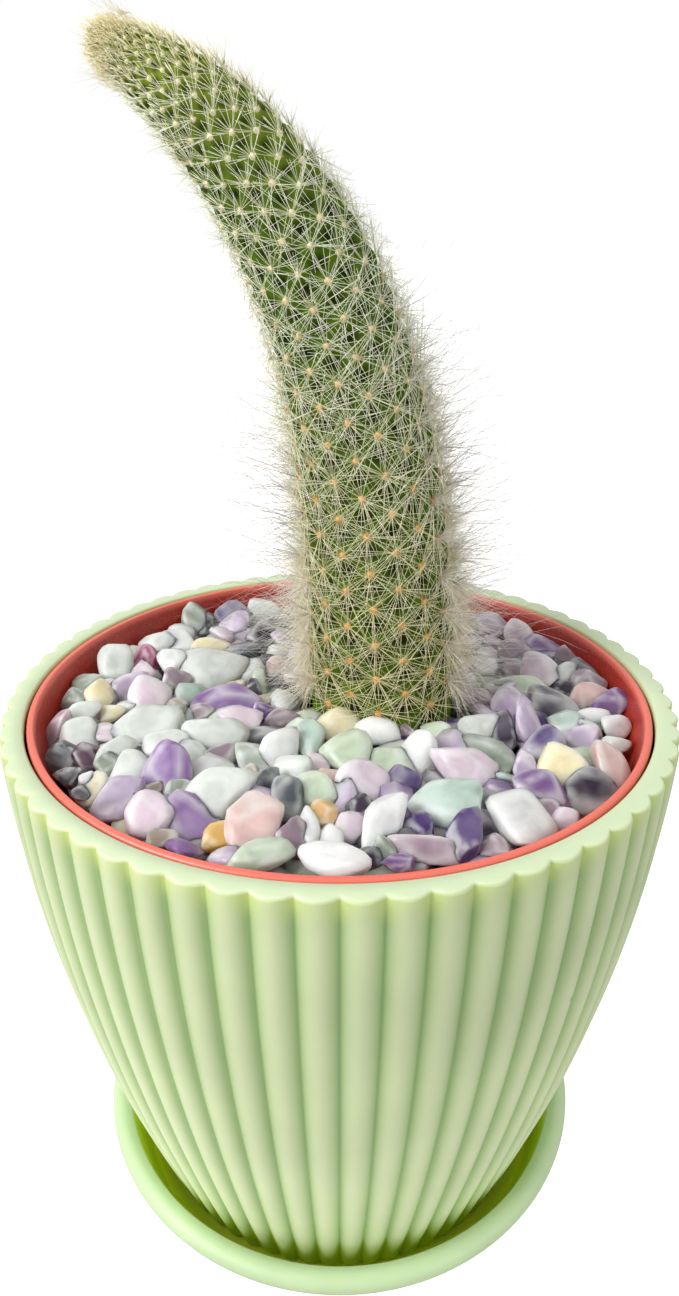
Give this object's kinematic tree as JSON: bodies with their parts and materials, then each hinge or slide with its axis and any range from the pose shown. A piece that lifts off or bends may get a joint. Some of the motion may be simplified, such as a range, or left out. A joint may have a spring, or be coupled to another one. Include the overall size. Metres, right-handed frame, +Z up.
{
  "type": "potted monkey tail cactus",
  "caption": "Curved columnar cactus with fine white spines and long hairs, in a nursery pot topped with tumbled stone chips, inside a ribbed round pot on a saucer.",
  "frame": {"origin": "bottom centre: the centre of the saucer's underside, on the surface that it stands on", "axes": "+Z is up, along the axis of the pots; -Y is the picture's front; the cactus bends towards -X"},
  "size_m": [0.112, 0.1118, 0.2018],
  "materials": {
    "mint_plastic": "satin",
    "terracotta_plastic": "satin",
    "potting_soil": "matte",
    "stone_chips": "satin",
    "cactus": "matte"
  },
  "bodies": {
    "root": {"saucer": "mint_plastic", "outer_pot": "mint_plastic", "nursery_pot": "terracotta_plastic", "soil": "potting_soil", "gravel": "stone_chips", "cactus": "cactus"}
  },
  "joints": []
}
